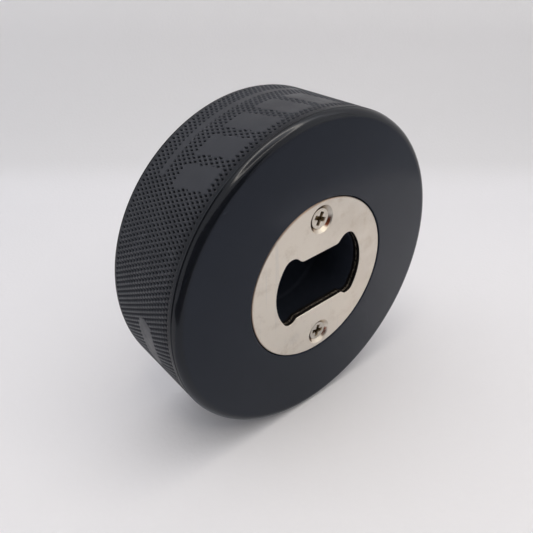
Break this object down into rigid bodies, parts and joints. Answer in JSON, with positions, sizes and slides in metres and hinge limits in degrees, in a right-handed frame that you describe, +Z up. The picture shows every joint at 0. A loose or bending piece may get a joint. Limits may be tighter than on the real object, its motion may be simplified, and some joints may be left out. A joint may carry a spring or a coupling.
{
  "type": "hockey puck bottle opener",
  "caption": "Black rubber hockey puck standing on its knurled rim, with a round countersunk steel bottle opener plate set into one face over a blind bore.",
  "frame": {"origin": "on the ground under the middle of the puck, which stands on its rim", "axes": "+Z up, +Y along the puck's axis from the opener face to the plain back face, so the opener faces -Y"},
  "size_m": [0.0762, 0.0254, 0.0762],
  "materials": {
    "puck_rubber": "satin",
    "nickel_plate": "satin",
    "screw_steel": "satin"
  },
  "bodies": {
    "root": {"puck_body": "puck_rubber", "opener_plate": "nickel_plate", "upper_screw": "screw_steel", "lower_screw": "screw_steel"}
  },
  "joints": []
}
